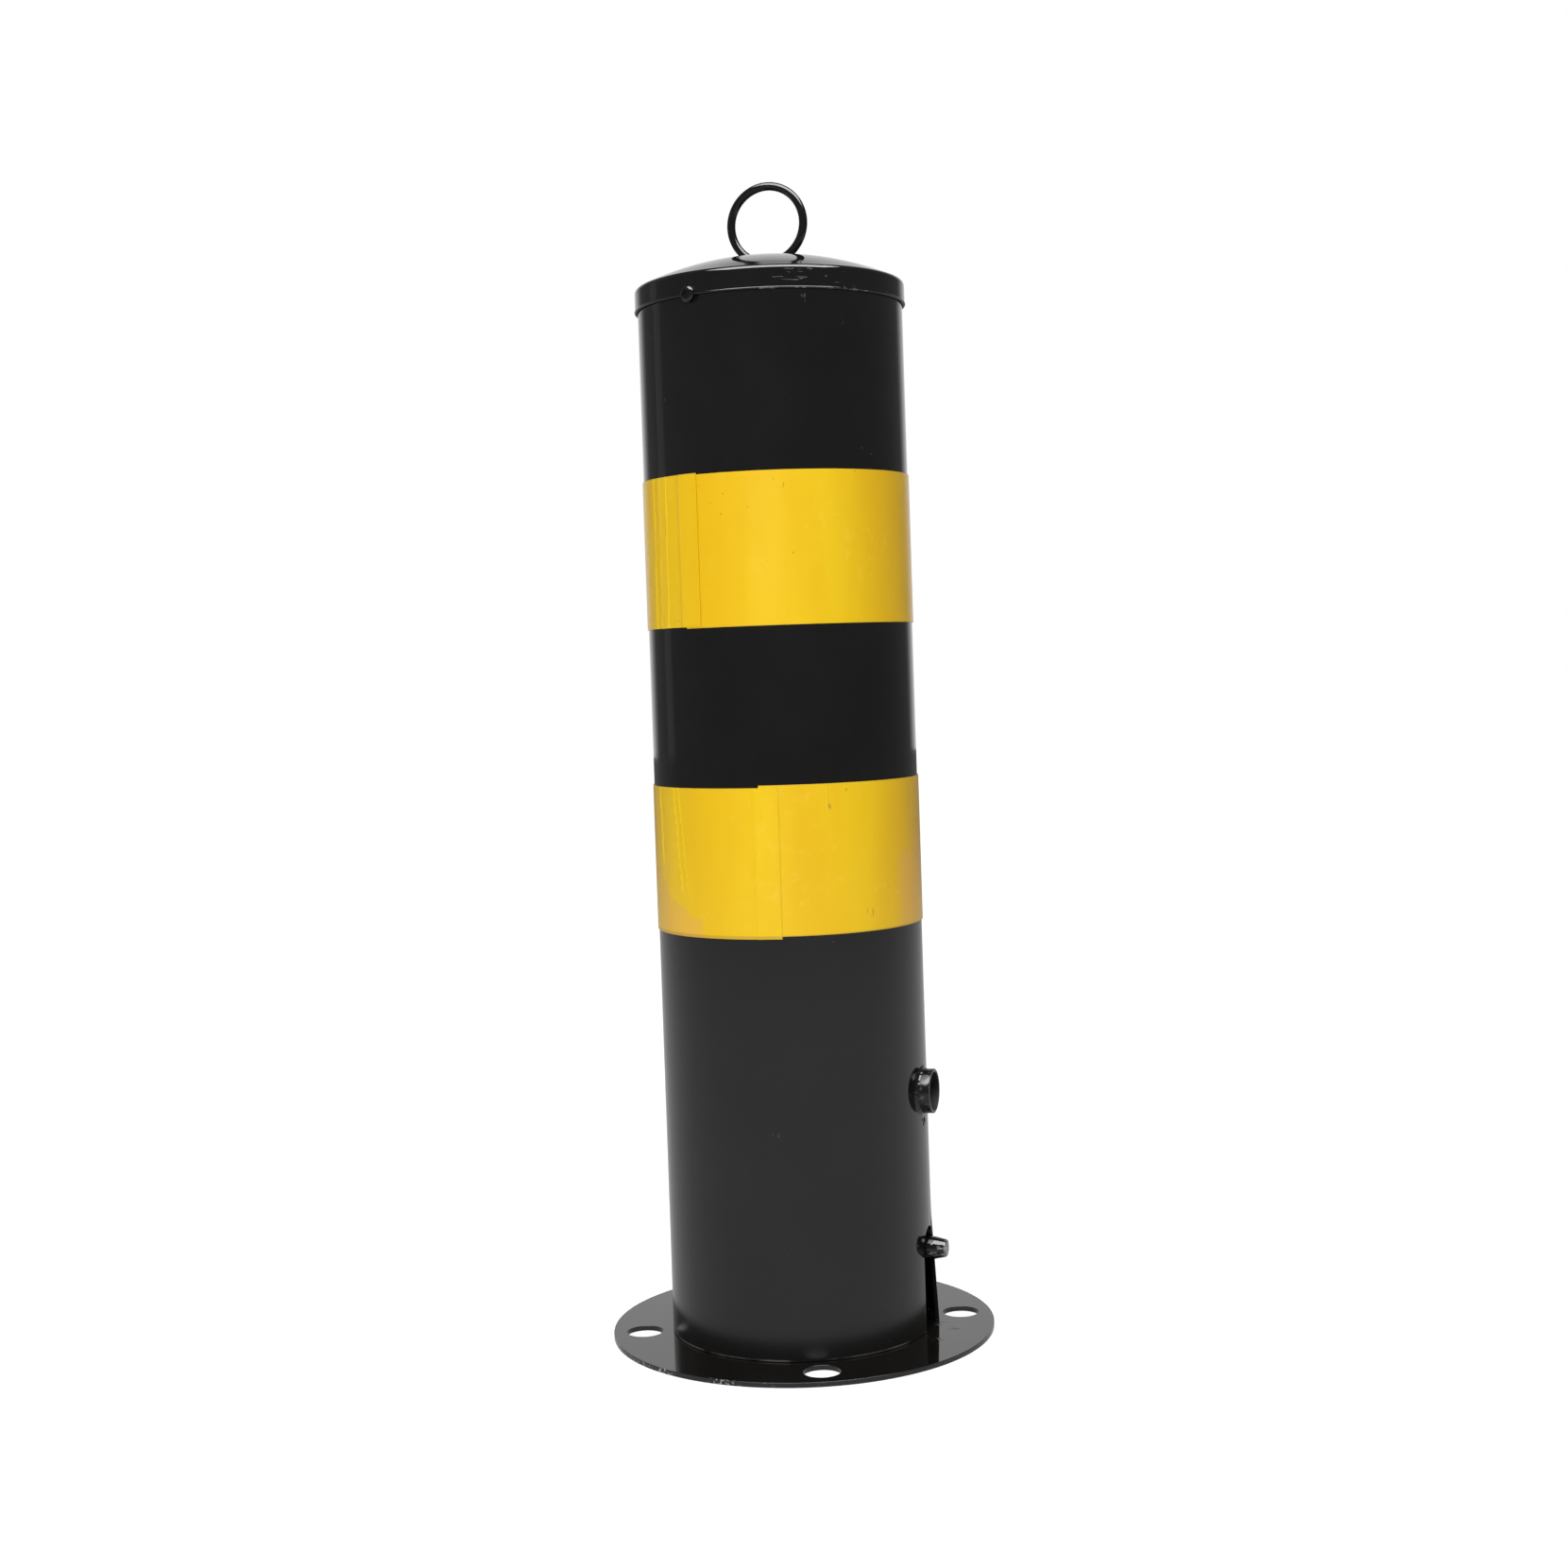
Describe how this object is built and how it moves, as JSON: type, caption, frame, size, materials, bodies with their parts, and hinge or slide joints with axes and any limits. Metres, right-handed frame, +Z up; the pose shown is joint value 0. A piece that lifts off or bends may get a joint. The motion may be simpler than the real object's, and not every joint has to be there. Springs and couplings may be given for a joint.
{
  "type": "parking bollard",
  "caption": "Removable steel bollard: black post with yellow reflective bands, domed cap and lift ring, over a bolted round base with a locating pin and a key lock.",
  "frame": {"origin": "centre of the flange's underside, where the bollard stands on the ground", "axes": "+Z up along the post, +X out of the lock's mouth"},
  "size_m": [0.16, 0.16, 0.48],
  "materials": {
    "black_paint": "gloss black stove enamel on steel, with small runs, chips and scuffs",
    "yellow_tape": "smooth yellow reflective film with fine creases",
    "zinc_steel": "zinc-plated steel",
    "spring_steel": "drawn spring wire",
    "brass": "machined brass"
  },
  "bodies": {
    "base": {"base_flange": "black_paint", "base_spigot": "black_paint", "locating_pin": "black_paint", "lock_lug": "black_paint"},
    "post": {"post_tube": "black_paint", "cap": "black_paint", "lift_ring": "black_paint", "cap_screw_1": "black_paint", "cap_screw_2": "black_paint", "lower_band": "yellow_tape", "upper_band": "yellow_tape", "lock_tube": "black_paint", "lock_bridge": "black_paint", "guide_bush": "brass", "stop_screw": "zinc_steel", "lock_spring": "spring_steel"},
    "lock": {"lock_cylinder": "zinc_steel", "lock_bolt": "zinc_steel", "plug_pin": "zinc_steel"},
    "key": {"key_plug": "brass"}
  },
  "joints": [
    {"name": "post_lift", "type": "slide", "parent": "base", "child": "post", "axis": [0, 0, 1], "range_m": [0, 0.13]},
    {"name": "lock_push", "type": "slide", "parent": "post", "child": "lock", "axis": [-1, 0, 0], "range_m": [0, 0.009], "stiffness_N_per_m": 500, "springref_m": -0.004, "deforming": ["lock_spring"]},
    {"name": "key_turn", "type": "hinge", "parent": "lock", "child": "key", "pos_m": [0.045, 0, 0.1015], "axis": [1, 0, 0], "range_deg": [0, 90]}
  ]
}
